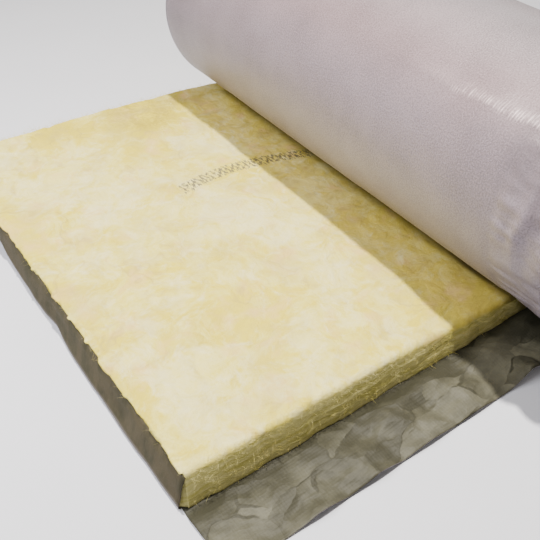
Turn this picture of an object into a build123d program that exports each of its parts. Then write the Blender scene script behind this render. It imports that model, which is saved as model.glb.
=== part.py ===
"""Partly unrolled roll of faced glass-wool blanket, as laid in metal building roofs.

Two pieces, both in one long strip: the glass wool, and the white facing bonded to
its underside. The unrolled run lies flat with its facing down. The rest is wound
up on the run's end with the facing outward, so each turn of wool is wrapped in
facing. Millimetres, +Z up, X along the run towards the roll, Y along the roll's
axis, and the origin under the middle of the whole.
"""

from build123d import *
import os

# Blanket
WOOL_WIDTH = 1219.0  # a 48 inch blanket
TAB_WIDTH = 152.0  # bare facing past the near long edge, to lap the next strip
FACING_THICKNESS = 1.0

# Unrolled run
RUN_LENGTH = 955.0  # from the cut end to the roll's lowest point
RUN_THICKNESS = 80.0  # facing and wool at the cut end, where the wool has sprung back
EDGE_ROUND = 10.0  # top edge of the cut end
NIP_ANGLE = 10.0  # degrees of the roll's underside that press on the run's wool

# Facing turned up over the cut end
FLAP_HEIGHT = 76.0
FOLD_RADIUS = 7.0  # inside of the fold

# Roll
ROLL_RADIUS = 286.0  # facing of the outermost turn
TURN_PITCH = 30.0  # one turn of squeezed wool with its facing
EYE_RADIUS = 30.0  # least radius of the hollow at the roll's heart
TURNS_DEPTH = 12.0  # how deep the inner turns are parted by facing, at each end

OVERALL_WIDTH = WOOL_WIDTH + TAB_WIDTH
FAR_SIDE = OVERALL_WIDTH / 2  # wool and facing end flush here
TAB_EDGE = -FAR_SIDE
NEAR_SIDE = TAB_EDGE + TAB_WIDTH  # the wool's near edge
ROLL_X = (RUN_LENGTH + FACING_THICKNESS - ROLL_RADIUS) / 2  # centres the whole on X
CUT_END_X = ROLL_X - RUN_LENGTH

# The spiral is half circles: those on the right share one centre, those on the
# left share another half a pitch higher, and each is half a pitch smaller.
RADIUS_STEP = TURN_PITCH / 2
HALF_TURNS = int((ROLL_RADIUS - TURN_PITCH - EYE_RADIUS) / RADIUS_STEP) + 1


def winding(inset):
    """The spiral from the roll's lowest point to its heart, moved inward by inset."""
    arcs = []
    for number in range(HALF_TURNS):
        on_left = number % 2
        centre = (ROLL_X, ROLL_RADIUS + on_left * RADIUS_STEP)
        radius = ROLL_RADIUS - number * RADIUS_STEP - inset
        arcs.append(CenterArc(centre, radius, 90 if on_left else -90, 180))
    return arcs


def fold_arc(radius):
    """Quarter circle where the strip turns up at the cut end."""
    centre = (CUT_END_X + FOLD_RADIUS, FACING_THICKNESS + FOLD_RADIUS)
    return CenterArc(centre, radius, 180, 90)


def slab(profile, near, far):
    """The profile, drawn in X and height, as a solid from near to far along Y."""
    return extrude(Plane((0, far, 0), x_dir=(1, 0, 0), z_dir=(0, -1, 0)) * profile, far - near)


def run_wool():
    """Profile of the run's wool: its top is level at the cut end and falls to the roll."""
    left_side = winding(0)[1]
    nip = left_side.trim(1 - NIP_ANGLE / 180, 1)
    fold = fold_arc(FOLD_RADIUS)
    top_corner = (CUT_END_X, RUN_THICKNESS)
    under_roll = (ROLL_X, FACING_THICKNESS)
    outline = [
        Line(fold @ 0, top_corner),
        TangentArc(top_corner, nip @ 0, tangent=(1, 0)),
        nip,
        Line(nip @ 1, under_roll),
        Line(under_roll, fold @ 1),
        fold,
    ]
    profile = make_face(outline)
    return fillet(profile.vertices().sort_by_distance((*top_corner, 0))[0], EDGE_ROUND)


def roll_wool():
    """Profile of the roll's wool, within its outermost facing and round its eye."""
    outside = winding(FACING_THICKNESS)[:2]
    eye = winding(TURN_PITCH)[-2:]
    heart_end = Line(eye[1] @ 1, eye[0] @ 0)
    return make_face([*outside, Line(outside[1] @ 1, outside[0] @ 0)]) - make_face(
        [*eye, heart_end]
    )


def spiral_facing(first, last):
    """Profile of the facing round the half turns from first up to last."""
    outside = winding(0)[first:last]
    inside = winding(FACING_THICKNESS)[first:last]
    start = Line(outside[0] @ 0, inside[0] @ 0)
    end = Line(outside[-1] @ 1, inside[-1] @ 1)
    return make_face([start, *outside, end, *inside])


def run_facing():
    """Profile of the facing under the run, turned up over the cut end."""
    outer_fold = fold_arc(FOLD_RADIUS + FACING_THICKNESS)
    inner_fold = fold_arc(FOLD_RADIUS)
    flap_outside = (CUT_END_X - FACING_THICKNESS, FLAP_HEIGHT)
    flap_inside = (CUT_END_X, FLAP_HEIGHT)
    outline = [
        Line(flap_inside, flap_outside),
        Line(flap_outside, outer_fold @ 0),
        outer_fold,
        Line(outer_fold @ 1, (ROLL_X, 0)),
        Line((ROLL_X, 0), (ROLL_X, FACING_THICKNESS)),
        Line((ROLL_X, FACING_THICKNESS), inner_fold @ 1),
        inner_fold,
        Line(inner_fold @ 0, flap_inside),
    ]
    return make_face(outline)


def make_facing():
    """Facing under the run and round the outermost turn, and its edges at the ends.

    It runs on past the wool's near edge as the lap tab. The tab lies flat to its
    end, so only the facing over the wool turns up at the cut end.
    """
    facing = slab(run_facing(), TAB_EDGE, FAR_SIDE)
    facing += slab(spiral_facing(0, 2), TAB_EDGE, FAR_SIDE)
    inner_turns = spiral_facing(2, HALF_TURNS)
    facing += slab(inner_turns, FAR_SIDE - TURNS_DEPTH, FAR_SIDE)
    facing += slab(inner_turns, TAB_EDGE, NEAR_SIDE + TURNS_DEPTH)
    tab_fold = Pos(CUT_END_X, TAB_EDGE) * Box(
        2 * (FOLD_RADIUS + FACING_THICKNESS),
        TAB_WIDTH,
        2 * FLAP_HEIGHT,
        align=(Align.CENTER, Align.MIN, Align.CENTER),
    )
    return facing - tab_fold


def make_glass_wool(facing):
    """Wool of the run and the roll as one solid, parted where the facing runs in it."""
    return slab(run_wool() + roll_wool(), NEAR_SIDE, FAR_SIDE) - facing


os.makedirs("parts", exist_ok=True)
facing = make_facing()
export_step(facing, "parts/facing.step")
export_step(make_glass_wool(facing), "parts/glass_wool.step")
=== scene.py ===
"""The looks of a partly unrolled roll of faced glass wool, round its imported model.

Metres. X runs along the unrolled run towards the roll, Y along the roll's axis and Z up.
The blanket is one long strip, so every surface also has strip coordinates: how far
along the strip a point lies, where across it, and how high above the facing.
"""

import functools
import math

import bpy
import numpy as np
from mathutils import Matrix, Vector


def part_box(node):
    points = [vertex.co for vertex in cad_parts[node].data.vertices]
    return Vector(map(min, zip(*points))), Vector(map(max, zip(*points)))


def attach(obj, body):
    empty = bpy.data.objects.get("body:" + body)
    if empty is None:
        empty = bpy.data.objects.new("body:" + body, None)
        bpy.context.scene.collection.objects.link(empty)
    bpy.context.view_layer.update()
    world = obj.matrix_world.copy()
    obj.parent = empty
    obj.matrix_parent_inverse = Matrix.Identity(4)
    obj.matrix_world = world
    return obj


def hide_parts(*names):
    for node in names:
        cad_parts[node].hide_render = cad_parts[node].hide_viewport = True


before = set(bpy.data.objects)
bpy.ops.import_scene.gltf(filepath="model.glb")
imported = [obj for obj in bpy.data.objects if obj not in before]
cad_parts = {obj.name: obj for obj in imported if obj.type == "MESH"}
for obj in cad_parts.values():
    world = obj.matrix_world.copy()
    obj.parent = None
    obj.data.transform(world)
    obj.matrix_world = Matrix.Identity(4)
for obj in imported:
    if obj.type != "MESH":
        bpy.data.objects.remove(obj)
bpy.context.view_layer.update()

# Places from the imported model
WOOL_LOW, WOOL_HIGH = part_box("glass_wool")
FACING_LOW, FACING_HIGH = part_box("facing")
FACING_THICKNESS = WOOL_LOW.x - FACING_LOW.x
CUT_END = WOOL_LOW.x
NEAR_SIDE, FAR_SIDE = WOOL_LOW.y, WOOL_HIGH.y
TAB_EDGE = FACING_LOW.y
TAB_WIDTH = NEAR_SIDE - TAB_EDGE
ROLL_RADIUS = FACING_HIGH.z / 2
ROLL_X = FACING_HIGH.x - ROLL_RADIUS

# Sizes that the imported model's box doesn't give
TURN_PITCH = 0.030
HALF_TURNS = 16
RUN_THICKNESS = 0.080
NIP_ANGLE = math.radians(10)
FLAP_HEIGHT = 0.076
FOLD_RADIUS = 0.007
FALL_POWER = 2.4  # of the run's height towards the nip

# The left half circles of the winding
LEFT_RADIUS = ROLL_RADIUS - TURN_PITCH / 2
LEFT_CENTRE_Z = ROLL_RADIUS + TURN_PITCH / 2
NIP_X = ROLL_X - LEFT_RADIUS * math.sin(NIP_ANGLE)
NIP_Z = LEFT_CENTRE_Z - LEFT_RADIUS * math.cos(NIP_ANGLE)

# Soft shaping of the wool
EDGE_ROUND = 0.014
FLAP_LEAN = 0.006  # how far the flap's top leans in over the wool's rounded edge
NEAR_LEAN, FAR_LEAN = 0.012, 0.003  # how far the foot of a cut side stands out from its top
NEAR_CLUMPS, FAR_CLUMPS = 0.005, 0.012  # height of the clumps along the run's two edges
END_BULGE = 0.007  # how far squeezed wool stands proud between the turns of facing
END_INSET = 0.004  # how far it starts inside the strip's edges
TELESCOPE = 0.0035  # sideways wander of the roll's turns
WOOL_OVERLAP = 0.004  # of the run's wool and the roll's first turn, under the roll
FREE_END = NIP_X - 0.10  # where along X the run's lumps start to fade under the roll
CONTACT_SHADE_FROM = 0.196  # where along X the painted shade at the roll's contact starts
DEEPEST_SHADE_Y = -0.415  # where along Y that painted shade is widest and darkest
SHADE_FADE_Y = 0.60  # past it that painted shade fades out
CLEARANCE = 0.0006

# Stretches of X over which the wool passes into the roll's cast shadow, where its tint and patterns are
# painted shade and its bumps calmer
TINT_CHANGE = (0.01, 0.07)
PATTERN_CHANGE = (0.02, 0.08)

# Density of the run's mesh
RUN_STEP = 0.0041
SKIRT_ROWS = 18

# Soft shaping of the facing
FOOT_BULGE = 0.014  # how far the turned-up flap's foot stands out, at the near end
TAB_SAG = 0.022  # droop of the free tab's edge over the top of the roll
FOLD_ANGLE = math.radians(226.4)  # of the outermost turn's one stretched fold
FOLD_DRIFT = math.radians(1.6)  # how far that fold climbs towards the near end
SLACK_ANGLE = math.radians(262)  # where the outermost turn's slack hangs out most
RIDGE_ANGLE, RIDGE_Y = math.radians(257), -0.610  # of the tab's one long ridge


# Arrays and smooth noise

LATTICE_SIZE = 32
LATTICE = np.random.default_rng(7).random((LATTICE_SIZE,) * 3)


def stacked(*parts):
    """These arrays or numbers side by side, along a new last axis."""
    return np.stack(np.broadcast_arrays(*parts), axis=-1)


def unit(vectors):
    """Each vector at a length of 1."""
    return vectors / np.maximum(np.linalg.norm(vectors, axis=1, keepdims=True), 1e-9)


def bell(value):
    """A bell curve, 1 in its middle, of this many widths away from it."""
    return np.exp(-(value**2))


def noise(x, y, z):
    """Smooth noise from -1 to 1 in space.

    Each unit cell blends the random numbers at its eight corners, with weights that
    rise from 0 to 1 as 3 t squared minus 2 t cubed.
    """
    place = stacked(x, y, z)
    cell = np.floor(place).astype(int)
    part = place - cell
    ease = part * part * (3 - 2 * part)
    total = 0
    for step in np.ndindex(2, 2, 2):
        corner = np.moveaxis((cell + step) % LATTICE_SIZE, -1, 0)
        weight = np.moveaxis(np.where(step, ease, 1 - ease), -1, 0)
        total = total + LATTICE[tuple(corner)] * weight[0] * weight[1] * weight[2]
    return 2 * total - 1


def layered_noise(x, y, z, layers):
    """Noise plus noise twice as fine and half as strong, and so on, from -1 to 1."""
    total = 0
    reach = 0
    for layer in range(layers):
        strength = 0.5**layer
        finer = 2**layer
        shift = 11.3 * layer
        total = total + strength * noise(x * finer + shift, y * finer, z * finer + shift)
        reach += strength
    return total / reach


def ramp(value, start, end):
    """0 up to start, 1 from end on, and an even S between them."""
    part = np.clip((value - start) / (end - start), 0, 1)
    return part * part * (3 - 2 * part)


# The shape of the strip


def winding(turned, inset):
    """Places on the spiral, turned radians on from the roll's lowest point.

    Each half turn is a half circle, half a pitch smaller than the one before. The
    right halves share one centre, the left halves another half a pitch higher.
    Returns x, z and the outward normal's x and z.
    """
    half = np.clip(np.floor(turned / math.pi), 0, HALF_TURNS - 1)
    radius = ROLL_RADIUS - half * TURN_PITCH / 2 - inset
    centre_z = ROLL_RADIUS + (half % 2) * TURN_PITCH / 2
    out_x, out_z = np.sin(turned), -np.cos(turned)
    return ROLL_X + radius * out_x, centre_z + radius * out_z, out_x, out_z


def strip_length(turned):
    """How far along the strip a point of the winding lies, near enough for patterns."""
    return ROLL_X + turned * (ROLL_RADIUS - turned * TURN_PITCH / (4 * math.pi))


def telescoping(turned):
    """Sideways wander of the turns, a few millimetres, none at the first turn."""
    wander = noise(turned / 5.0, 3.7, 9.1) + 0.4 * noise(turned / 1.7, 8.2, 1.3)
    return TELESCOPE * wander * ramp(turned, 0.5, 5.0)


def roll_underside(x):
    """Height of the roll's left underside over x: a half circle."""
    across = np.clip(x - ROLL_X, -LEFT_RADIUS, LEFT_RADIUS)
    return LEFT_CENTRE_Z - np.sqrt(LEFT_RADIUS**2 - across**2)


def edge_radius(thickness):
    """Rounding of the run's upper edges, smaller where the wool is thin."""
    return np.minimum(EDGE_ROUND, 0.42 * thickness)


def run_top(x):
    """Height of the run's wool.

    It is level at the cut end, falls to the nip with the way there to the power
    FALL_POWER, and then follows the roll's underside.
    """
    way = np.clip((x - CUT_END) / (NIP_X - CUT_END), 0, 1)
    falling = RUN_THICKNESS - (RUN_THICKNESS - NIP_Z) * way**FALL_POWER
    return np.where(x < NIP_X, falling, roll_underside(x))


# Meshes


def grid_faces(rows, columns, closed=False):
    """Quads of a grid stored row by row; closed joins its last column to its first."""
    near = np.arange(rows * columns).reshape(rows, columns)
    beside = np.roll(near, -1, axis=1)
    if not closed:
        near, beside = near[:, :-1], beside[:, :-1]
    return stacked(near[:-1], beside[:-1], beside[1:], near[1:]).reshape(-1, 4)


def grid_outline(rows, columns):
    """Indices of a grid's outline: up its first column, over its last row, and back."""
    grid = np.arange(rows * columns).reshape(rows, columns)
    return np.concatenate([grid[:-1, 0], grid[-1, :-1], grid[:0:-1, -1], grid[0, :0:-1]])


def in_scene(name, data):
    """A new object in the scene, at the origin."""
    made = bpy.data.objects.new(name, data)
    bpy.context.scene.collection.objects.link(made)
    return made


def mesh_piece(name, points, faces, layers, finishes):
    """A smooth-shaded object at the origin from points, faces and vertex attributes.

    layers maps an attribute's name to one number or three numbers a point.
    """
    mesh = bpy.data.meshes.new(name)
    mesh.from_pydata(points.reshape(-1, 3).tolist(), [], faces)
    mesh.shade_smooth()
    for layer, values in layers.items():
        kind, field = ("FLOAT_VECTOR", "vector") if np.ndim(values) > 1 else ("FLOAT", "value")
        attribute = mesh.attributes.new(layer, kind, "POINT")
        attribute.data.foreach_set(field, np.asarray(values, np.float32).ravel())
    for finish in finishes:
        mesh.materials.append(finish)
    return in_scene(name, mesh)


def spaced(start, end, step):
    """Even places from start to end, about step apart."""
    return np.linspace(start, end, max(2, round((end - start) / step) + 1))


# Glass wool


def wool_relief(x, y, z):
    """Height of the wool's lumps: broad swells, tufts, and wisps combed this way or that.

    The wisps are noise stretched one way in some places and the other way in others,
    over places bent by slower noise. A few short creases sink in where two slow
    noises both say so.
    """
    bent_x = x + 0.022 * noise(x * 13, y * 13, 1.0)
    bent_y = y + 0.022 * noise(x * 13, y * 13, 6.0)
    swells = 0.0030 * layered_noise(x * 5.5, y * 5.5, z * 5.5, 2)
    tufts = 0.0022 * layered_noise(bent_x * 24 + 3, bent_y * 24, z * 24, 2)
    combed = ramp(noise(x * 5 + 7, y * 5, 2.0), -0.25, 0.25)
    wisps_along = noise(bent_x * 20, bent_y * 95, z * 40)
    wisps_across = noise(bent_x * 95, bent_y * 20, z * 40 + 5)
    wisps = 0.0006 * (combed * wisps_along + (1 - combed) * wisps_across)
    folds = np.abs(layered_noise(x * 7 + 20, y * 5, z * 7, 3))
    creased = ramp(noise(x * 4 + 2, y * 4, 8.0), 0.1, 0.45)
    creases = -0.0045 * (1 - ramp(folds, 0.0, 0.10)) * creased
    return swells + tufts + wisps + creases


def side_relief(along, height):
    """Ridges of the wool's laid-up layers on a cut side: long along the strip, thin in height."""
    layers = 0.0018 * layered_noise(along * 5, 4.4, height * 130, 3)
    wisps = 0.0009 * layered_noise(along * 40, 2.2, height * 70, 2)
    return layers + wisps


def cut_lip(y, over_end):
    """How far the wool's torn upper edge hangs out over the flap, raggedly along the cut."""
    ragged = 0.5 + 0.5 * layered_noise(y * 14, 3.3, 1.8, 4)
    tufts = ramp(noise(y * 60, 7.0, 2.0), -0.2, 0.6)
    lip = ramp(over_end, 0.05, 0.3) * (1 - ramp(over_end, 0.35, 0.6))
    return lip * (0.006 * ragged + 0.005 * tufts)


# Places on the run, each as x, y, radius and tint: above 0 whiter, below 0 yellower,
# and duller below -0.5. The dull ones along the far edge and near the roll are partly
# painted shade.
TINTED_PLACES = (
    (-0.572, 0.001, 0.040, -0.3),
    (-0.10, 0.60, 0.13, -1.6),
    (-0.02, 0.655, 0.06, -0.9),
    (-0.35, 0.63, 0.09, -0.9),
    (-0.40, 0.38, 0.16, 0.2),
    (-0.35, 0.15, 0.08, -0.4),
    (-0.12, 0.05, 0.10, 0.4),
    (-0.24, -0.07, 0.09, -0.7),
    (-0.41, -0.24, 0.10, -0.6),
    (-0.17, -0.32, 0.06, -0.2),
    (-0.30, -0.35, 0.20, -0.3),
    (-0.05, -0.42, 0.10, -0.5),
)


def wool_tint(points):
    """Sum of soft round tints, each a bell curve of its distance.

    The cut end is yellower. The wool in the roll's cast shadow is painted yellower as
    shade, more so towards the near side.
    """
    x, y = points[:, 0], points[:, 1]
    tint = np.zeros(len(points))
    for place_x, place_y, radius, strength in TINTED_PLACES:
        away = np.hypot(x - place_x, y - place_y)
        tint += strength * bell(away / radius)
    # painted shade: yellower wool in the roll's cast shadow
    tint -= (0.16 + 0.28 * ramp(-y, 0.26, 0.46)) * ramp(x, *TINT_CHANGE)
    return tint - 0.55 * (1 - ramp(x, CUT_END + 0.02, CUT_END + 0.10))


def run_grid():
    """Even places over the run, with closer ones over the rim along its free edges."""
    rim = np.linspace(0, EDGE_ROUND, 9)[:-1]
    inner_x = spaced(CUT_END + EDGE_ROUND, ROLL_X + WOOL_OVERLAP, RUN_STEP)
    inner_y = spaced(NEAR_SIDE + EDGE_ROUND, FAR_SIDE - EDGE_ROUND, RUN_STEP)
    along = np.concatenate([CUT_END + rim, inner_x])
    across = np.concatenate([NEAR_SIDE + rim, inner_y, (FAR_SIDE - rim)[::-1]])
    return np.meshgrid(along, across, indexing="ij")


def run_wool_top(x, y):
    """The run's top: a height over the grid, plus lumps, with a rounded rim.

    The rim, one edge radius wide, is wrapped round a quarter circle, and round an
    eighth of a ball at the corners: a point's angle is its share of the way across
    the rim, and its direction is straight out from the inner rectangle. The top
    stays behind the flap and below the roll. Returns the points, the directions,
    the shares of the way, and how free of the roll the points are.
    """
    centre_y, half_width = (NEAR_SIDE + FAR_SIDE) / 2, (FAR_SIDE - NEAR_SIDE) / 2
    rim_reach = half_width - EDGE_ROUND
    radius = edge_radius(run_top(x))
    side = np.sign(y - centre_y)
    from_centre = np.abs(y - centre_y)
    over_side = np.clip((from_centre - half_width) / EDGE_ROUND + 1, 0, 1)
    over_end = np.clip((CUT_END - x) / EDGE_ROUND + 1, 0, 1)
    on_rim = np.maximum(over_side, over_end)
    inner_x = np.maximum(x, CUT_END + EDGE_ROUND)
    inner_y = side * np.minimum(from_centre, rim_reach)
    inner_y = centre_y + inner_y * (half_width - radius) / rim_reach
    angle = on_rim * math.pi / 2
    length = np.maximum(np.hypot(over_side, over_end), 1e-9)
    out_x = -over_end / length * np.sin(angle)
    out_y = side * over_side / length * np.sin(angle)
    out_z = np.cos(angle)
    top_x = inner_x + radius * out_x
    top_y = inner_y + radius * out_y
    top_z = run_top(inner_x) - radius * (1 - out_z)

    free = 1 - ramp(top_x, FREE_END, NIP_X - 0.01)
    clumps = np.where(side > 0, FAR_CLUMPS, NEAR_CLUMPS) * on_rim
    clumps = clumps * layered_noise(x * 22, y * 22, 4.0, 3)
    lift = free * (wool_relief(top_x, top_y, top_z) + clumps)
    out = stacked(out_x, out_y, out_z)
    top = stacked(top_x, top_y, top_z) + lift[..., None] * out
    top[..., 0] -= cut_lip(top_y, over_end)
    inside_flap = flap_face(top[..., 1], top[..., 2]) + CLEARANCE
    below_its_edge = top[..., 2] < FLAP_HEIGHT + 0.001
    top[..., 0] = np.where(below_its_edge, np.maximum(top[..., 0], inside_flap), top[..., 0])
    top[..., 2] = np.minimum(top[..., 2], roll_underside(top[..., 0]) - CLEARANCE)
    return top, out, on_rim, free


def run_wool_skirt(start, outward, free):
    """The run's cut sides: straight down from the rim, leaning out a little, to the facing."""
    down = np.linspace(0, 1, SKIRT_ROWS + 1)[1:, None]
    z = start[:, 2] * (1 - down) + (FACING_THICKNESS + CLEARANCE / 2) * down
    lean = np.where(outward[:, 1] < -0.5, NEAR_LEAN, FAR_LEAN) * down
    push = side_relief(start[:, 0] + start[:, 1], z) * free
    push = push * np.sin(down * math.pi) ** 0.5 + lean
    behind_flap = flap_face(start[:, 1], z) + CLEARANCE
    covered = outward[:, 0] < -0.5
    x = np.where(covered, behind_flap, start[:, 0] + push * outward[:, 0])
    y = start[:, 1] + np.where(covered, 0, push) * outward[:, 1]
    return stacked(x, y, z)


def painted_contact_shade(points, cut):
    """How dark the painted contact shade is on the wool, from 0 to 1.

    It is painted where the roll meets and shades the wool. On top it starts at a line
    across, sooner round the hollow, with lighter painted shade before it. On the cut
    side it starts later, and only the foot is shaded before it. Towards the far side it
    fades and gives way to a faint slanting corner of painted shade.
    """
    x, y = points[:, 0], points[:, 1]
    hollow = bell((y - DEEPEST_SHADE_Y) / 0.09)
    past_start = x - CONTACT_SHADE_FROM + 0.020 * hollow
    on_top = (0.75 + 0.25 * hollow) * ramp(past_start / (0.009 + 0.017 * hollow), 0, 1)
    before_it = 0.55 * ramp(x, CONTACT_SHADE_FROM - 0.030, CONTACT_SHADE_FROM + 0.006)
    on_top = np.maximum(on_top, before_it)
    low = 1 - np.clip(points[:, 2] / run_top(x), 0, 1)
    shaded_foot = 0.14 * ramp(x, -0.05, 0.06) * ramp(low, 0.50, 0.85)
    on_side = np.maximum(shaded_foot, 0.85 * ramp(x, 0.212, 0.240))
    shade_on_wool = np.where(cut > 0.5, on_side, on_top) * (1 - ramp(y, SHADE_FADE_Y, 0.66))
    # painted shade on the far corner's rounded rim
    past_slant = x + 1.3 * (y - SHADE_FADE_Y) + 0.02 * noise(x * 40, y * 40, 2.0)
    far_corner = 0.20 * ramp(past_slant, 0.0, 0.06) * ramp(y, 0.57, 0.62)
    return np.maximum(shade_on_wool, far_corner)


def run_wool():
    """The run's wool: its lumpy top, and skirts from the top's rim down to a flat foot."""
    x, y = run_grid()
    top, out, on_rim, free = run_wool_top(x, y)
    rows, columns = x.shape
    rim_index = grid_outline(rows, columns)
    outward = unit(out[..., :2].reshape(-1, 2)[rim_index])
    skirt = run_wool_skirt(top.reshape(-1, 3)[rim_index], outward, free.ravel()[rim_index])
    points = np.concatenate([top.reshape(-1, 3), skirt.reshape(-1, 3)])

    count = len(rim_index)
    below = rows * columns + np.arange(SKIRT_ROWS * count).reshape(SKIRT_ROWS, count)
    left = np.concatenate([[rim_index], below])
    right = np.roll(left, -1, axis=1)
    skirt_faces = stacked(left[:-1], left[1:], right[1:], right[:-1]).reshape(-1, 4)
    foot = left[-1][::-1].tolist()
    faces = grid_faces(rows, columns)[:, ::-1].tolist() + skirt_faces.tolist() + [foot]

    cut_top = ramp(on_rim, 0.55, 1.0).ravel()
    cut = np.concatenate([cut_top, np.ones(SKIRT_ROWS * count)])
    layers = {
        "strip": points,
        "cut": cut,
        "tint": wool_tint(points),
        # painted shade where the roll meets the wool
        "painted_shade": painted_contact_shade(points, cut),
    }
    return mesh_piece("wool_run", points, faces, layers, [glass_wool_finish()])


def roll_wool():
    """The roll's wool, one long band wound on the spiral, bulging a little at its two ends.

    A station's outline is flat on both faces, and each end is a squarish half oval:
    its height and reach are the sine and cosine of an angle, each to the power
    squareness. The first station reaches a hair past the lowest point, into the run.
    """
    stations, end_points, squareness = 760, 15, 0.6
    turned = np.linspace(-0.012, HALF_TURNS * math.pi, stations)[:, None]
    angle = np.linspace(-math.pi / 2, math.pi / 2, end_points)
    height = np.sign(np.sin(angle)) * np.abs(np.sin(angle)) ** squareness / 2 + 0.5
    reach = np.cos(angle).clip(0) ** squareness
    crossing = (FAR_SIDE - NEAR_SIDE) * spaced(0.02, 0.98, 0.24)
    flat = np.zeros(len(crossing))
    whole = np.ones(end_points)
    share = np.concatenate([height, flat + 1, height[::-1], flat])
    y = np.concatenate([NEAR_SIDE * whole, NEAR_SIDE + crossing, FAR_SIDE * whole, FAR_SIDE - crossing])
    outward = np.concatenate([-reach, flat, reach[::-1], flat])
    at_ends = np.concatenate([-whole, flat, whole, flat])
    y = y + ramp(turned, 0.0, 0.6) * (END_BULGE * outward - END_INSET * at_ends)

    thickness = TURN_PITCH - FACING_THICKNESS - 2 * CLEARANCE
    strip_height = FACING_THICKNESS + CLEARANCE + thickness * share
    along = strip_length(turned)
    ridges = 1.3 * side_relief(along + y * 3, strip_height * 1.6)
    y = y + telescoping(turned) + outward * ridges
    x, z, *_ = winding(turned, strip_height)
    rings = stacked(x, y, z)
    rows, columns, _ = rings.shape
    points = np.concatenate([rings.reshape(-1, 3), rings[[0, -1]].mean(axis=1)])
    strip = stacked(along, y, strip_height).reshape(-1, 3)
    strip = np.concatenate([strip, strip[[0, -1]]])
    cut = np.broadcast_to(ramp(np.abs(outward), 0.05, 0.4), (rows, columns)).ravel()
    cut = np.concatenate([cut, [1, 1]])

    ring = np.arange(columns)
    beside = np.roll(ring, -1)
    last = (rows - 1) * columns
    start_hub, end_hub = rows * columns, rows * columns + 1
    start_cap = stacked(ring, beside, start_hub)
    end_cap = stacked(last + beside, last + ring, end_hub)
    tube = grid_faces(rows, columns, closed=True)[:, ::-1]
    faces = tube.tolist() + start_cap.tolist() + end_cap.tolist()
    layers = {"strip": strip, "cut": cut}
    return mesh_piece("wool_turns", points, faces, layers, [glass_wool_finish()])


# Facing


def tab_share(y):
    """0 over the wool, and up to 1 at the lap tab's free edge."""
    return np.clip((NEAR_SIDE - y) / TAB_WIDTH, 0, 1)


def tab_ripple(x, y, z):
    """Wrinkles of the free tab round the roll.

    It steps in off the wool, where small puckers start, and long flutes and folded
    crumples deepen towards its edge.
    """
    share = tab_share(y)
    flutes = layered_noise(x * 11, y * 5, z * 11, 2)
    crumples = np.abs(layered_noise(x * 20 + 5, y * 15, z * 20, 3)) - 0.25
    puckers = 0.005 * np.abs(noise(x * 42, y * 14, z * 42)) * ramp(share, 0.0, 0.2)
    off_the_wool = -0.004 * ramp(share, 0.0, 0.12)
    return off_the_wool + puckers + share**0.6 * (0.009 * flutes + 0.013 * crumples)


def tab_ridge(turned, y):
    """The one long ridge round the tab's left side, with a hollow beside it."""
    on_left = bell((turned - RIDGE_ANGLE) / math.radians(15))
    from_ridge = y - RIDGE_Y + 0.006 * noise(turned * 9, 2.0, 3.0)
    ridge = 0.009 * bell(from_ridge / 0.012)
    hollow = 0.006 * bell((from_ridge + 0.036) / 0.020)
    return on_left * (ridge - hollow)


def wound_facing(name, first, last, turn_step, width_step):
    """The facing from first to last radians of the winding, as a sheet facing outward.

    The free tab's wrinkles lie in space, so that turns next to each other keep
    apart, and over the roll's top the tab sags with the square of its overhang.
    """
    turned = spaced(first, last, turn_step)[:, None]
    tab = spaced(TAB_EDGE, NEAR_SIDE, 0.0085)
    y = np.concatenate([tab[:-1], spaced(NEAR_SIDE, FAR_SIDE, width_step)])[None, :]
    x, z, out_x, out_z = winding(turned, 0)
    x, y, z, turned = np.broadcast_arrays(x, y, z, turned)
    free = ramp(turned, 0.0, 0.6)
    outermost = outer_tension(turned, y) + tab_ridge(turned, y)
    ripple = free * (tab_ripple(x, y, z) + outermost * (turned < 2 * math.pi))
    sag = TAB_SAG * tab_share(y) ** 2 * ramp(z, 0.08, 2 * ROLL_RADIUS)
    points = stacked(x + out_x * ripple, y + telescoping(turned), z + out_z * ripple - sag)
    strip = stacked(strip_length(turned), y, 0)
    faces = grid_faces(*y.shape).tolist()
    # the bright band of painted highlight along the fold
    layers = {"strip": strip, "stretched": painted_highlight_band(turned, y).ravel()}
    return facing_sheet(name, points, faces, layers)


def from_tension_fold(turned, y):
    """Way down round the roll from the one stretched fold that runs along its upper left."""
    middle = FOLD_ANGLE - FOLD_DRIFT * ramp(-y, 0.35, 0.60)
    return (turned - middle - 0.006 * noise(y * 9, 1.1, 7.7)) * ROLL_RADIUS


def painted_highlight_band(turned, y):
    """How strongly the painted highlight shows: 1 on the stretched fold, from the near half on, less
    above it, and 0 below it.
    """
    from_fold = from_tension_fold(turned, y)
    wide = 1 + 0.5 * noise(y * 21, 3.0, 4.0)
    flank = np.where(from_fold < 0, 0.019 * wide, 0.007 * wide)
    narrow = bell(from_fold / flank) * ramp(-y, 0.20, 0.46)
    patchy = 0.45 + 0.55 * ramp(noise(y * 26, turned * 9, 4.0), -0.4, 0.3)
    return np.minimum(narrow * patchy, 1)


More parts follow.
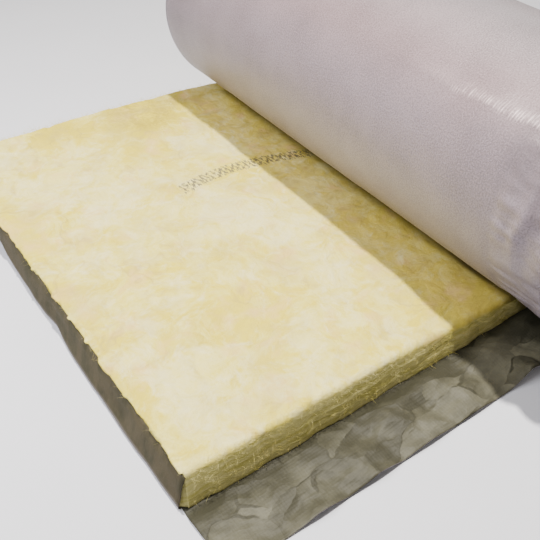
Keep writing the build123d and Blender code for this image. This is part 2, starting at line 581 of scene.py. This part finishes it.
def outer_tension(turned, y):
    """How the outermost turn over the wool stands off its round.

    It has slight swells, and slack that hangs out on the left, most towards the near
    end, where it reaches up to the fold. The fold runs along the upper left and
    fades out towards the far side: it rises gently from above and drops off sharply
    below.
    """
    swells = 0.0012 * layered_noise(turned * 2.2, y * 4, 5.5, 2)
    swells = swells + 0.0006 * noise(turned * 1.1, y * 17, 9.5)
    from_crest = (turned - SLACK_ANGLE) / math.radians(24)
    from_top = ramp(turned, math.radians(200), math.radians(234))
    on_left = bell(np.maximum(from_crest, 0)) * from_top
    on_left = on_left * (1 + 0.35 * np.clip(-from_crest, 0, 1.17))
    towards_near = 0.006 * ramp(-y, 0.10, 0.34) + 0.015 * ramp(-y, 0.32, 0.46)
    loose = 0.006 * ramp(layered_noise(y * 10, 2.2, 6.1, 3), -0.4, 0.6)
    loose = loose + 0.005 * ramp(y, 0.30, 0.66)
    slack = on_left * towards_near + bell(from_crest) * loose
    from_fold = from_tension_fold(turned, y)
    flank = np.where(from_fold < 0, 0.017, 0.009)
    fold = 0.0020 * bell(from_fold / flank) * ramp(-y, 0.0, 0.4)
    return swells + slack + fold


def flap_billow(y, z):
    """How far the flap stands out from its flat place: most at its foot, and at the near end."""
    share = np.clip(z / FLAP_HEIGHT, 0, 1)
    near_share = ramp(-y, -FAR_SIDE, -NEAR_SIDE)
    waves = 0.005 * noise(y * 8, 2.0, 5.0) + 0.0025 * noise(y * 21, 2.0, 5.0)
    foot = FOOT_BULGE * near_share + 0.003 + waves
    billow = 0.0035 * layered_noise(y * 13, z * 22, 3.0, 2) * np.sin(share * math.pi)
    lean = FLAP_LEAN * ramp(share, 0.75, 1.1)
    return foot * (1 - share) ** 1.3 + billow - lean


def flap_face(y, z):
    """Where along X the flap's inner face lies, also round the fold's quarter circle."""
    below = np.clip(FOLD_RADIUS + FACING_THICKNESS - z, 0, FOLD_RADIUS)
    rounded = FOLD_RADIUS - np.sqrt(FOLD_RADIUS**2 - below**2)
    return CUT_END + rounded - flap_billow(y, z)


def run_facing():
    """The facing under the run, with its flap turned up over the cut end and its lap tab.

    Along the strip it goes down the flap, round the fold and along the floor. The
    flap's foot stands out, more at the near end. The tab lies flat to its end, so
    the flap is only there over the wool.
    """
    flap_rows = np.linspace(FLAP_HEIGHT, FACING_THICKNESS + FOLD_RADIUS, 15)[:-1]
    fold = np.linspace(0, math.pi / 2, 6)
    floor_rows = spaced(CUT_END + FOLD_RADIUS, ROLL_X, 0.0055)[1:]
    reach = FOLD_RADIUS + FACING_THICKNESS
    flap_x = np.full(len(flap_rows), CUT_END - FACING_THICKNESS)
    x = np.concatenate([flap_x, CUT_END + FOLD_RADIUS - reach * np.cos(fold), floor_rows])
    z = np.concatenate([flap_rows, reach * (1 - np.sin(fold)), np.zeros(len(floor_rows))])
    tab = spaced(TAB_EDGE, NEAR_SIDE, 0.0040)
    y = np.concatenate([tab[:-1], spaced(NEAR_SIDE, FAR_SIDE, 0.0125)])
    x, y = np.meshgrid(x, y, indexing="ij")
    z = np.broadcast_to(z[:, None], x.shape)

    ragged = 0.0018 * layered_noise(y * 16, 1.5, 4.0, 3) * ramp(z, 0.04, FLAP_HEIGHT)
    settled = 1 - ramp(x, CUT_END, CUT_END + 0.06)
    crumple = tab_crumple(x, y)
    points = stacked(x - settled * flap_billow(y, z), y, z + ragged + crumple)
    rows, columns = x.shape
    faces = grid_faces(rows, columns)
    turned_up = len(flap_rows) + len(fold) - 1
    row, column = np.divmod(faces[:, 0], columns)
    faces = faces[(row >= turned_up) | (column >= len(tab) - 1)]
    along = CUT_END - z + np.maximum(x - CUT_END, 0)
    strip = stacked(along, y, 0)
    used = np.unique(faces)
    renumber = np.zeros(rows * columns, int)
    renumber[used] = np.arange(len(used))
    layers = {"strip": strip.reshape(-1, 3)[used]}
    return facing_sheet("facing_run", points.reshape(-1, 3)[used], renumber[faces].tolist(), layers)


# Sets of folds in the tab: their direction in radians, spacing and height
TAB_FOLDS = ((0.35, 0.13, 0.010), (1.9, 0.088, 0.007), (1.15, 0.056, 0.003))


def tab_crumple(x, y):
    """Height of the run's crumpled lap tab above the floor, in flat facets with sharp folds.

    It is the sum of slanted zigzags of different widths and directions, each bent a
    little by noise, and it is flattened at the wool's foot and under the roll.
    """
    bent_x = x + 0.010 * noise(x * 6, y * 6, 1.0)
    bent_y = y + 0.010 * noise(x * 6, y * 6, 6.0)
    height = 0
    for turn, width, rise in TAB_FOLDS:
        place = (bent_x * math.cos(turn) + bent_y * math.sin(turn)) / width + turn * 3
        height = height + rise * 2 * np.abs(place - np.floor(place) - 0.5)
    share = tab_share(y)
    loose = ramp(share, 0.05, 0.35) * (1 - ramp(x, ROLL_X - 0.12, ROLL_X - 0.02))
    edge = 1 + 0.6 * ramp(share, 0.6, 1.0) * noise(x * 10, 3.0, 2.0)
    return height * loose * edge * (0.35 + 0.65 * ramp(noise(x * 5, y * 5, 4.0), -0.5, 0.5))


def facing_sheet(name, points, faces, layers):
    """The sheet with its thickness, white vinyl outside and grey scrim backing inside.

    It is a little thinner than the real one, so that it clears the wool.
    """
    piece = mesh_piece(name, points, faces, layers, [vinyl_finish(), backing_finish()])
    thickness = piece.modifiers.new("thickness", "SOLIDIFY")
    thickness.thickness = FACING_THICKNESS * 0.8
    thickness.offset = -1
    thickness.material_offset = 1
    evaluated = piece.evaluated_get(bpy.context.evaluated_depsgraph_get())
    mesh = bpy.data.meshes.new_from_object(evaluated)
    piece.modifiers.clear()
    piece.data = mesh
    return piece


# Finishes


def feed(node, inputs):
    """Links each wire to the node's input of that name or number, and sets the other values."""
    for name, value in inputs.items():
        if isinstance(value, Wire):
            value.tree.links.new(value.socket, node.inputs[name])
        else:
            node.inputs[name].default_value = value


def operator(operation, backwards=False):
    """A Wire's operator: it adds a Math node for its values, in order or backwards."""

    def add_node(*values):
        inputs = dict(enumerate(values[::-1] if backwards else values))
        return values[0].node("ShaderNodeMath", 0, {"operation": operation}, inputs)

    return add_node


class Wire:
    """A socket in a material's node tree. Sums on it add Math nodes."""

    def __init__(self, tree, socket=None):
        self.tree = tree
        self.socket = socket

    def node(self, kind, output, settings=None, inputs=None):
        """A new node: its settings are set first, then its sockets' values or links."""
        made = self.tree.nodes.new(kind)
        for name, value in (settings or {}).items():
            setattr(made, name, value)
        feed(made, inputs or {})
        return Wire(self.tree, made.outputs[output])

    __add__ = __radd__ = operator("ADD")
    __sub__ = operator("SUBTRACT")
    __rsub__ = operator("SUBTRACT", backwards=True)
    __mul__ = __rmul__ = operator("MULTIPLY")
    __pow__ = operator("POWER")
    __abs__ = operator("ABSOLUTE")
    cosine = operator("COSINE")
    zigzag = operator("PINGPONG")

    def clipped(self, start, end):
        """0 up to start and 1 from end on, even between them."""
        settings = {"clamp": True}
        return self.node("ShaderNodeMapRange", 0, settings, {0: self, 1: start, 2: end})

    def part(self, axis):
        """One part of this vector: 0 for X, 1 for Y and 2 for Z."""
        return self.node("ShaderNodeSeparateXYZ", axis, None, {0: self})

    def stretched(self, x, y, z):
        """This vector with each part multiplied."""
        settings = {"operation": "MULTIPLY"}
        return self.node("ShaderNodeVectorMath", 0, settings, {0: self, 1: (x, y, z)})

    def shifted(self, vector, amount):
        """This vector plus another, multiplied by amount."""
        settings = {"operation": "MULTIPLY_ADD"}
        inputs = {0: vector, 1: (amount,) * 3, 2: self}
        return self.node("ShaderNodeVectorMath", 0, settings, inputs)

    def speckle(self, scale, detail=2.0, roughness=0.5, swirl=0.0, output="Fac"):
        """Noise at this vector, scale being its grains in a metre; swirl curls it."""
        inputs = {"Vector": self, "Scale": scale, "Detail": detail, "Roughness": roughness}
        inputs["Distortion"] = swirl
        return self.node("ShaderNodeTexNoise", output, None, inputs)

    def cells(self, scale, output="Distance", feature="F1"):
        """Cells at this vector: the way to one's middle or edge, or its own colour."""
        inputs = {"Vector": self, "Scale": scale}
        return self.node("ShaderNodeTexVoronoi", output, {"feature": feature}, inputs)

    def between(self, first, second):
        """The first colour where this mask is 0, and the second where it is 1."""
        inputs = {0: self, 6: first, 7: second}
        return self.node("ShaderNodeMix", 2, {"data_type": "RGBA"}, inputs)

    def attribute(self, name, output="Fac"):
        """A vertex attribute of the piece, as a number, or as a Vector."""
        return self.node("ShaderNodeAttribute", output, {"attribute_name": name})

    def bumps(self, strength, distance):
        """The normal that this height gives."""
        inputs = {"Strength": strength, "Distance": distance, "Height": self}
        return self.node("ShaderNodeBump", 0, None, inputs)


def colour(red, green, blue):
    """A linear colour with its alpha."""
    return (red, green, blue, 1.0)


def new_finish(name):
    """An empty material, its shader, and the piece's Object coordinates."""
    finish = bpy.data.materials.new(name)
    finish.use_nodes = True
    tree = finish.node_tree
    place = Wire(tree).node("ShaderNodeTexCoord", "Object")
    return finish, tree.nodes["Principled BSDF"], place


def painted(tone, *coats):
    """A colour under coats, each a mask and the colour that it brings where it is 1."""
    for mask, coat in coats:
        tone = mask.between(tone, coat)
    return tone


WOOL_CREAM = colour(0.765, 0.69, 0.26)
WOOL_WHITE = colour(0.79, 0.725, 0.40)
WOOL_YELLOW = colour(0.69, 0.585, 0.10)
WOOL_PEACH = colour(0.76, 0.565, 0.24)
WOOL_DULL = colour(0.50, 0.41, 0.07)
# Painted shade of the wool's lumps
WOOL_RELIEF_SHADE = colour(0.56, 0.48, 0.20)
# Painted shade in the roll's cast shadow
WOOL_SHADOW_BROWN = colour(0.40, 0.30, 0.085)
# Painted shade in the wool's creases
WOOL_CREASE_SHADE = colour(0.52, 0.41, 0.14)
# Painted shade where the roll meets and shades the wool
WOOL_CONTACT_SHADE = colour(0.12, 0.085, 0.022)
WOOL_OLIVE = colour(0.52, 0.48, 0.165)
WOOL_PALE_LAYER = colour(0.72, 0.665, 0.33)

INK_GREY = colour(0.15, 0.135, 0.10)
INK_ROW_Y, INK_HEIGHT = 0.208, 0.046
INK_START, INK_END = -0.195, 0.225
LEANING_SPACING, CROSSING_SPACING = 0.0135, 0.0190


def ink_marks(strip, wandering):
    """A faint bowed row of plain strokes, which slant one way or the other.

    The fibres break the strokes up, and they spell nothing.
    """
    along = strip.part(0)
    across = strip.part(1)
    one_way = {"noise_dimensions": "1D"}
    uneven = along.node("ShaderNodeTexNoise", 0, one_way, {"W": along * 45, "Detail": 2.0})
    bowed = ((along + 0.03) * 9).cosine() * 0.024
    off_row = across + uneven * 0.022 - bowed - INK_ROW_Y
    in_row = 1 - abs(off_row).clipped(0.38 * INK_HEIGHT, 0.46 * INK_HEIGHT)
    started = along.clipped(INK_START, INK_START + 0.003)
    ended = along.clipped(INK_END, INK_END + 0.003)
    wobble = wandering.speckle(55, 2, 0.5)
    leaning = (along + across * 0.30 + wobble * 0.022) * (1 / LEANING_SPACING)
    crossing = (along - across * 0.75 + wobble * 0.030) * (1 / CROSSING_SPACING)
    leaning = leaning.zigzag(0.5).clipped(0.18, 0.30)
    crossing = crossing.zigzag(0.5).clipped(0.22, 0.34)
    either = along.node("ShaderNodeTexNoise", 0, one_way, {"W": along * 38 + 4})
    stroke = leaning + either.clipped(0.48, 0.56) * (crossing - leaning)
    worn = wandering.speckle(70, 3, 0.6).clipped(0.26, 0.44)
    return in_row * (started - ended) * stroke * worn * 0.88


def layered_side(strip):
    """The colour of the layers on the wool's cut sides, pale and olive, and their height."""
    warp = strip.speckle(14, 3, output="Color")
    layered_place = strip.shifted(warp, 0.03)
    bands = layered_place.stretched(9, 9, 130).speckle(1.0, 4, 0.7)
    threads = layered_place.stretched(50, 50, 300).speckle(1.0, 3, 0.7)
    pale = (bands * 0.6 + threads * 0.4).clipped(0.40, 0.60)
    return pale.between(WOOL_OLIVE, WOOL_PALE_LAYER), bands * 2 + threads * 1.2


@functools.cache
def glass_wool_finish():
    """Cream fibres with yellow and peach blotches and white tufts, in layers where it is cut.

    Dull tufts lie where the tint is low, partly painted shade along the far rim. Darker
    clouds of painted shade from the lumps lie on the open run. In the roll's cast shadow
    the wool is painted more peach with dark brown mottles, as shade, and its bumps are
    calmer. Dark veins of painted crease shade run most at the cut end, the roll's contact
    is painted dark as shade, and there is ink on top.
    """
    finish, shader, place = new_finish("glass_wool")
    strip = place.attribute("strip", "Vector")
    cut = place.attribute("cut")
    tint = place.attribute("tint")
    along = strip.part(0)
    # the roll's cast shadow on the run, where colours are painted shade
    in_roll_shadow = along.clipped(*PATTERN_CHANGE)

    drift = place.speckle(9, 3, output="Color")
    wandering = place.shifted(drift, 0.06)
    blotches = wandering.speckle(6, 3, 0.55)
    clouds = wandering.speckle(15, 4, 0.62, swirl=1.0)
    wisps = wandering.speckle(46, 5, 0.68, swirl=2.5)
    pale_clouds = place.shifted(drift, 0.03).speckle(19, 4, 0.65, swirl=1.3)
    combed = place.speckle(5, 2).clipped(0.42, 0.58)
    curled = place.shifted(drift, 0.10)
    strands_along = curled.stretched(17, 80, 40).speckle(1.0, 4, 0.62)
    strands_across = curled.stretched(80, 17, 40).speckle(1.0, 4, 0.62)
    strands = combed * strands_along + (1 - combed) * strands_across

    yellow = blotches * 0.30 + clouds * 0.45 + strands * 0.15 + wisps * 0.10 - tint * 0.10
    yellow = yellow.clipped(0.47, 0.58) * 0.95
    peach = place.shifted(drift, 0.045).speckle(13, 3, 0.6).clipped(0.54, 0.70)
    # more peach in the roll's cast shadow: painted shade
    peach = peach * 0.75 + in_roll_shadow * 0.25
    white = pale_clouds * 0.5 - wisps * 0.10 - strands * 0.10 - blotches * 0.3 + tint * 0.10
    white = (white + 0.53).clipped(0.51, 0.63) * 0.9
    tufted = (clouds * 0.55 + wisps * 0.45).clipped(0.41, 0.56)
    # dull tufts: yellower wool, partly painted shade along the far rim and by the roll
    dull = (tint * -1).clipped(0.5, 1.3) * tufted * 0.9
    stirred = place.shifted(drift, 0.05)
    # darker clouds: painted shade of the wool's lumps, less in the roll's shadow
    relief_shade = stirred.speckle(10, 4, 0.6).clipped(0.47, 0.66) * (0.36 - in_roll_shadow * 0.30)
    # dark brown mottles only in the roll's cast shadow: painted shade
    brown = stirred.speckle(24, 3, 0.62, swirl=0.8).clipped(0.46, 0.66) * in_roll_shadow * 0.40
    # dark veins: painted shade in the wool's creases, most at the cut end
    crease_shade = 1 - abs(curled.speckle(5.5, 3, 0.6) - 0.5).clipped(0.0, 0.022)
    at_cut_end = 1 - along.clipped(CUT_END + 0.03, CUT_END + 0.17)
    crease_shade = crease_shade * (blotches.clipped(0.49, 0.58) * 0.45 + at_cut_end * 0.30)
    side, layers = layered_side(strip)
    base = painted(
        WOOL_CREAM,
        (yellow, WOOL_YELLOW),
        (peach, WOOL_PEACH),
        (white, WOOL_WHITE),
        (dull, WOOL_DULL),
        (relief_shade, WOOL_RELIEF_SHADE),
        (brown, WOOL_SHADOW_BROWN),
        (crease_shade, WOOL_CREASE_SHADE),
        (ink_marks(strip, wandering) * (1 - cut), INK_GREY),
        (cut, side),
        # the roll's contact, painted dark as shade
        (place.attribute("painted_shade"), WOOL_CONTACT_SHADE),
    )

    lint = wandering.speckle(190, 4, 0.75, swirl=2.0)
    height = lint * 0.9 + strands * 1.3 + wisps * 0.4 + clouds * 2.5 + pale_clouds * 2.5
    height = height * (1 - cut * 0.6) * (1 - in_roll_shadow * 0.35) + layers * cut
    feed(shader, {"Base Color": base, "Normal": height.bumps(0.75, 0.0021), "Roughness": 0.95})
    feed(shader, {"Sheen Weight": 0.12, "Sheen Roughness": 0.6, "Sheen Tint": WOOL_CREAM})
    return finish


# Painted shade in the tab's hollow
VINYL_HOLLOW_SHADE = colour(0.150, 0.122, 0.130)
# Painted highlight on the stretched fold
VINYL_PAINTED_HIGHLIGHT = colour(0.74, 0.62, 0.60)
# Painted shade on the turned-up flap
FLAP_SHADE_GREY = colour(0.084, 0.069, 0.036)
FLAP_SHADE_OLIVE = colour(0.054, 0.048, 0.021)
SCRIM_SPACING = 0.0064

# The vinyl's white and grey on the roll's back, over its top, down its left and low on it,
# as painted light: pinker over the top and cooler low down
VINYL_PAINTED_LIGHT_TONES = (
    (colour(0.335, 0.305, 0.312), colour(0.240, 0.217, 0.222)),
    (colour(0.325, 0.250, 0.253), colour(0.224, 0.172, 0.174)),
    (colour(0.325, 0.270, 0.288), colour(0.224, 0.185, 0.198)),
    (colour(0.335, 0.298, 0.342), colour(0.232, 0.204, 0.238)),
)

# Stretches along the strip over which one painted tone passes into the next
PAINTED_TONE_CHANGES = ((1.20, 1.38), (1.42, 1.53), (1.54, 1.67))

# Stretches along the strip where the painted shade of the hollow in the outermost tab
# starts and ends
HOLLOW_START, HOLLOW_END = (1.37, 1.45), (1.50, 1.57)


def thread_lines(coordinate):
    """Raised threads, SCRIM_SPACING apart: the cosine of the way across, to the sixth power."""
    return (coordinate * (math.pi / SCRIM_SPACING)).cosine() ** 6


@functools.cache
def vinyl_finish():
    """Satin white vinyl, faintly pinkish grey, embossed with a pebble over the scrim's threads.

    Its tone shifts round the roll as painted light, pinker over the top and cooler low
    down, with painted shade in a hollow of the tab. A bright band of painted highlight,
    striped by the threads, lies on the stretched fold, and the flap is painted dark grey
    and olive as shade.
    """
    finish, shader, place = new_finish("vinyl")
    strip = place.attribute("strip", "Vector")
    along = strip.part(0)
    across = strip.part(1)
    pebbles = strip.speckle(620, 2, 0.6)
    grain = strip.speckle(300, 3, 0.6)
    drift = strip.speckle(35, 3, 0.6)
    strokes = strip.stretched(34, 210, 1).speckle(1.0, 3, 0.6).clipped(0.40, 0.60)
    threads = thread_lines(across + drift * 0.004) * strokes
    grey = (place.speckle(7, 3, 0.6) * 0.22 + grain * 0.78).clipped(0.425, 0.595)
    # the vinyl's tone round the roll: painted light
    back, *others = (grey.between(*tones) for tones in VINYL_PAINTED_LIGHT_TONES)
    changes = [along.clipped(*stretch) for stretch in PAINTED_TONE_CHANGES]
    past_wool = (across * -1).clipped(0.505, 0.560)
    # painted shade in the hollow where the tab drops off the wool
    hollow = past_wool * (along.clipped(*HOLLOW_START) - along.clipped(*HOLLOW_END)) * 0.55
    # painted highlight on the stretched fold, striped by the threads
    painted_highlight = place.attribute("stretched") * (0.05 + strokes * 0.25 + threads * 0.90)
    on_flap = 1 - along.clipped(CUT_END - FOLD_RADIUS * 2, CUT_END)
    # the flap painted dark grey and olive, as shade
    flap_shade_mottle = place.stretched(1, 1, 0.4).speckle(30, 4, 0.65).clipped(0.42, 0.62)
    base = painted(
        back,
        *zip(changes, others),
        (hollow, VINYL_HOLLOW_SHADE),
        (painted_highlight, VINYL_PAINTED_HIGHLIGHT),
        (on_flap, flap_shade_mottle.between(FLAP_SHADE_GREY, FLAP_SHADE_OLIVE)),
    )
    normal = (pebbles * 0.8 + grain * 1.1 + threads * 0.15).bumps(0.8, 0.0010)
    rough = 0.30 + grain * 0.16 + on_flap * 0.4
    feed(shader, {"Base Color": base, "Normal": normal, "Roughness": rough})
    return finish


FILM_GREY = colour(0.15, 0.142, 0.112)
FILM_LIGHT = colour(0.26, 0.245, 0.20)
TAB_FILM = colour(0.058, 0.056, 0.037)
TAB_FILM_LIGHT = colour(0.205, 0.198, 0.140)
WOOL_DUST = colour(0.40, 0.35, 0.15)

# Stretches of X over which the bare tab is painted paler in the roll's shadow beside the roll, and
# painted dark as shade under it
PALE_TAB_START, PALE_TAB_END = (-0.03, 0.05), (0.10, 0.19)


def bare_film(place, strip, bent, lighter):
    """The bare tab's dark film, with painted light and shade on it.

    Each facet has its own tone, painted light for how it catches the lamps, and its
    creases are painted dark as shade. In the roll's shadow beside the roll it is painted
    paler, with more contrast, and it is painted darker under the roll and at the wool's foot.
    """
    along = strip.part(0)
    across = strip.part(1)
    creased = place.speckle(11, 2).clipped(0.50, 0.60)
    # dark creases: painted shade
    from_crease = bent.cells(1.0, feature="DISTANCE_TO_EDGE")
    crease = (1 - from_crease.clipped(0.0, 0.035)) * creased
    # each facet's own tone: painted light for how it catches the lamps
    painted_facet_light = bent.cells(1.0, "Color").part(0)
    # paler in the roll's shadow, darker under the roll: painted light and shade
    painted_light_by_roll = along.clipped(*PALE_TAB_START) - along.clipped(*PALE_TAB_END) * 1.4
    # painted shade at the wool's foot
    painted_foot_shade = across.clipped(NEAR_SIDE - 0.080, NEAR_SIDE - 0.015)
    painted_foot_shade = painted_foot_shade * (0.3 + along.clipped(0.06, 0.12) * 0.4)
    contrast = 0.45 + painted_light_by_roll * 0.60
    shade = lighter * 0.3 + (painted_facet_light - 0.5) * contrast + 0.04 + painted_light_by_roll * 0.7
    return (shade - crease * 0.8 - painted_foot_shade).between(TAB_FILM, TAB_FILM_LIGHT)


@functools.cache
def backing_finish():
    """The facing's inner side: grey-olive film over scrim, dusted with the wool that lay on it."""
    finish, shader, place = new_finish("facing_backing")
    strip = place.attribute("strip", "Vector")
    grain = strip.speckle(300, 3, 0.6)
    lighter = place.speckle(16, 4, 0.65).clipped(0.4, 0.65)
    bent = place.shifted(place.speckle(8, 3, output="Color"), 0.09).stretched(8, 14, 8)
    bare = bare_film(place, strip, bent, lighter)
    across = strip.part(1)
    under_wool = across.clipped(NEAR_SIDE - 0.004, NEAR_SIDE + 0.002)
    dust = (place.speckle(45, 5, 0.75) * 0.7 + grain * 0.3).clipped(0.52, 0.66) * under_wool
    bonded = lighter.between(FILM_GREY, FILM_LIGHT)
    base = painted(bare, (under_wool, bonded), (dust * 0.6, WOOL_DUST))
    scrim = thread_lines(strip.part(0)) * 0.6 + thread_lines(across)
    height = grain * 0.4 + scrim * 0.2 + bent.cells(1.0) * 14 + bent.cells(2.7) * 5
    feed(shader, {"Base Color": base, "Normal": height.bumps(0.7, 0.0010)})
    feed(shader, {"Roughness": 0.56 + dust * 0.3, "Specular IOR Level": 0.3})
    return finish


# Loose fibres

HAIR_TAPER = (0.15, 0.9, 1.0, 0.8, 0.1)  # thickness at the stations of a hair


def loose_fibres():
    """Short glass fibres that stand off the wool's edges and cut sides.

    Each is a thin three-sided hair with pointed ends. Its middle line starts on the
    wool, runs along a slanted direction and bends sideways with the square of the
    way. All are worked out at once, as an array of hairs by stations by corners.
    """
    rng = np.random.default_rng(23)
    parts = [
        edge_roots(rng, 1900, NEAR_SIDE, -1.0),
        edge_roots(rng, 1500, FAR_SIDE, 1.0),
        cut_end_roots(rng, 260),
        roll_end_roots(rng, 1300, NEAR_SIDE, -1.0),
        roll_end_roots(rng, 1800, FAR_SIDE, 1.0),
    ]
    roots, outward = (np.concatenate(kind) for kind in zip(*parts))
    count = len(roots)
    heading = unit(rng.normal(size=(count, 3)) + 0.9 * outward)
    toward = np.sum(heading * outward, axis=1, keepdims=True)
    heading = heading + outward * (np.maximum(0.12 - toward, 0))
    bend = np.cross(heading, rng.normal(size=(count, 3)))
    length = rng.gamma(3.0, 0.0035, size=(count, 1)).clip(0.003, 0.022)
    radius = rng.uniform(0.00010, 0.00022, size=(count, 1, 1, 1))

    stations, corners = len(HAIR_TAPER), 3
    way = np.linspace(0, 1, stations)[None, :, None]
    course = heading[:, None] * way + 0.35 * bend[:, None] * way**2
    line = roots[:, None] + length[:, None] * course
    side = unit(np.cross(heading, outward + 0.3))
    other = np.cross(heading, side)
    turn = (np.arange(corners) * 2 * math.pi / corners)[None, None, :, None]
    across = np.cos(turn) * side[:, None, None, :] + np.sin(turn) * other[:, None, None, :]
    taper = np.array(HAIR_TAPER)[None, :, None, None]
    points = line[:, :, None] + radius * taper * across
    points[..., 2] = np.maximum(points[..., 2], FACING_THICKNESS)

    first_points = stations * corners * np.arange(count)[:, None, None]
    quads = (grid_faces(stations, corners, closed=True)[None] + first_points).reshape(-1, 4)
    tip = np.arange(corners)
    tips = np.array([tip[::-1], tip + (stations - 1) * corners])
    caps = (tips[None] + first_points).reshape(-1, 3)
    places = points.reshape(-1, 3)
    layers = {"strip": places, "cut": np.full(len(places), 0.25)}
    faces = quads.tolist() + caps.tolist()
    return mesh_piece("wool_fibres", places, faces, layers, [glass_wool_finish()])


def edge_roots(rng, count, edge_y, side):
    """Roots along one long edge of the run, from its rounded top down its cut side."""
    x = rng.uniform(CUT_END + 0.01, FREE_END, count)
    angle = rng.uniform(0.1, 1.0, count) ** 0.7 * math.pi / 2
    thickness = run_top(x)
    radius = edge_radius(thickness)
    down = np.where(rng.random(count) < 0.5, rng.uniform(0, 1, count), 0.0)
    z = thickness - radius * (1 - np.cos(angle)) - down * (thickness - radius - 0.004)
    y = edge_y - side * radius * (1 - np.sin(np.where(down > 0, math.pi / 2, angle)))
    lean = NEAR_LEAN * down * (side < 0)
    out = stacked(0 * x, side * np.sin(angle), np.cos(angle))
    return stacked(x, y + side * lean, z), out


def cut_end_roots(rng, count):
    """Roots along the cut end's rounded top edge, above the flap."""
    y = rng.uniform(NEAR_SIDE + 0.01, FAR_SIDE - 0.01, count)
    angle = rng.uniform(0.05, 0.6, count) * math.pi / 2
    x = CUT_END + EDGE_ROUND * (1 - np.sin(angle))
    z = RUN_THICKNESS - EDGE_ROUND * (1 - np.cos(angle))
    return stacked(x, y, z), stacked(-np.sin(angle), 0, np.cos(angle))


def roll_end_roots(rng, count, end_y, side):
    """Roots on the wool that shows between the turns of facing at one end of the roll."""
    turned = HALF_TURNS * math.pi * (1 - np.sqrt(rng.random(count)))
    height = rng.uniform(0.006, TURN_PITCH - 0.004, count)
    x, z, *_ = winding(turned, height)
    y = end_y + side * (END_BULGE - 0.006) + telescoping(turned)
    return stacked(x, y, z), stacked(0 * x, side, 0)


# The object

outer_turn = 2 * math.pi
last_turned = HALF_TURNS * math.pi

wool_run = run_wool()
wool_turns = roll_wool()
fibres = loose_fibres()
facing_run = run_facing()
facing_roll = wound_facing("facing_roll", 0.0, outer_turn, turn_step=0.021, width_step=0.012)
facing_turns = wound_facing(
    "facing_turns", outer_turn, last_turned, turn_step=0.075, width_step=0.24
)

for wool in (wool_run, wool_turns, fibres):
    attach(wool, "root")
for wool in (wool_run, wool_turns):
    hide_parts("glass_wool")

for facing, length in (
    (facing_run, FLAP_HEIGHT + ROLL_X - CUT_END),
    (facing_roll, strip_length(outer_turn) - ROLL_X),
    (facing_turns, strip_length(last_turned) - strip_length(outer_turn)),
):
    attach(facing, "root")
    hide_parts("facing")


# Floor, light and camera

FLOOR_GREY = colour(0.61, 0.62, 0.64)
FLOOR_LIGHT = colour(0.65, 0.66, 0.68)
SURROUND_TINT = colour(1.0, 0.95, 0.92)

KEY_FORM = {"shape": "DISK", "size": 0.26, "spread": math.radians(90)}
LONG_FORM = {"shape": "RECTANGLE", "size": 1.4, "size_y": 0.5}
BROAD_FORM = {"shape": "RECTANGLE", "size": 1.8, "size_y": 1.2}

# Each lamp's name, place, the way its light travels, power, tint and form
LAMPS = (
    ("key", (0.574, 0.60, 6.0), (-0.112, -0.200, -1.0), 120, (1.0, 0.955, 0.91), KEY_FORM),
    ("strip", (-0.60, 1.10, 2.30), (0.32, -0.60, -0.74), 6.5, (1.0, 0.81, 0.74), LONG_FORM),
    ("fill", (-1.85, 0.35, 1.9), (0.72, -0.05, -0.68), 57, (0.93, 0.94, 1.0), BROAD_FORM),
)


def studio_floor():
    """A plain pale floor, well past the camera's view."""
    finish, shader, place = new_finish("floor")
    tone = place.speckle(3, 3).between(FLOOR_GREY, FLOOR_LIGHT)
    feed(shader, {"Base Color": tone, "Roughness": 0.8})
    size = 14.0
    corners = np.array([[-size, -size, 0], [size, -size, 0], [size, size, 0], [-size, size, 0]])
    floor = mesh_piece("floor", corners, [[0, 1, 2, 3]], {}, [finish])


def aim(lamp, direction):
    """Turns a lamp so that its light travels in this direction."""
    travel = unit(np.array([direction]))[0]
    tilt = math.acos(-travel[2])
    lamp.rotation_euler = (tilt, 0, math.atan2(-travel[0], travel[1]))


def studio_light():
    """Three lamps, a weak surround and the tones of the picture.

    The key lamp is high over the roll and throws its shadow on the run. The long
    lamp past the far left makes the bright band along the roll by its reflection.
    The broad fill is low, past the cut end.
    """
    for name, place, direction, power, tint, form in LAMPS:
        light = bpy.data.lights.new(name, "AREA")
        light.energy = power
        light.color = tint
        for key, value in form.items():
            setattr(light, key, value)
        lamp = in_scene(name, light)
        lamp.location = place
        aim(lamp, direction)
    world = bpy.data.worlds.new("studio")
    world.use_nodes = True
    surround = world.node_tree.nodes["Background"]
    surround.inputs["Color"].default_value = SURROUND_TINT
    surround.inputs["Strength"].default_value = 0.355
    bpy.context.scene.world = world
    bpy.context.scene.view_settings.view_transform = "AgX"
    bpy.context.scene.view_settings.look = "AgX - Medium High Contrast"


def photograph_camera():
    """The camera as the photograph's: its place, heading and pitch fitted to the run's edges.

    The picture's own centre lies above the frame's, hence the small shift.
    """
    focal_pixels, frame_pixels, picture_centre_y = 794.7, 540, 231.5
    camera = bpy.data.cameras.new("camera")
    camera.sensor_width = 36
    camera.lens = focal_pixels / frame_pixels * camera.sensor_width
    camera.shift_y = (picture_centre_y - frame_pixels / 2) / frame_pixels
    camera.clip_end = 60
    stand = in_scene("camera", camera)
    stand.location = (-0.9565, -1.259, 1.226)
    heading, pitch = math.radians(35.34), math.radians(38.29)
    stand.rotation_euler = (math.pi / 2 - pitch, 0, -heading)
    bpy.context.scene.camera = stand


studio_floor()
studio_light()
photograph_camera()
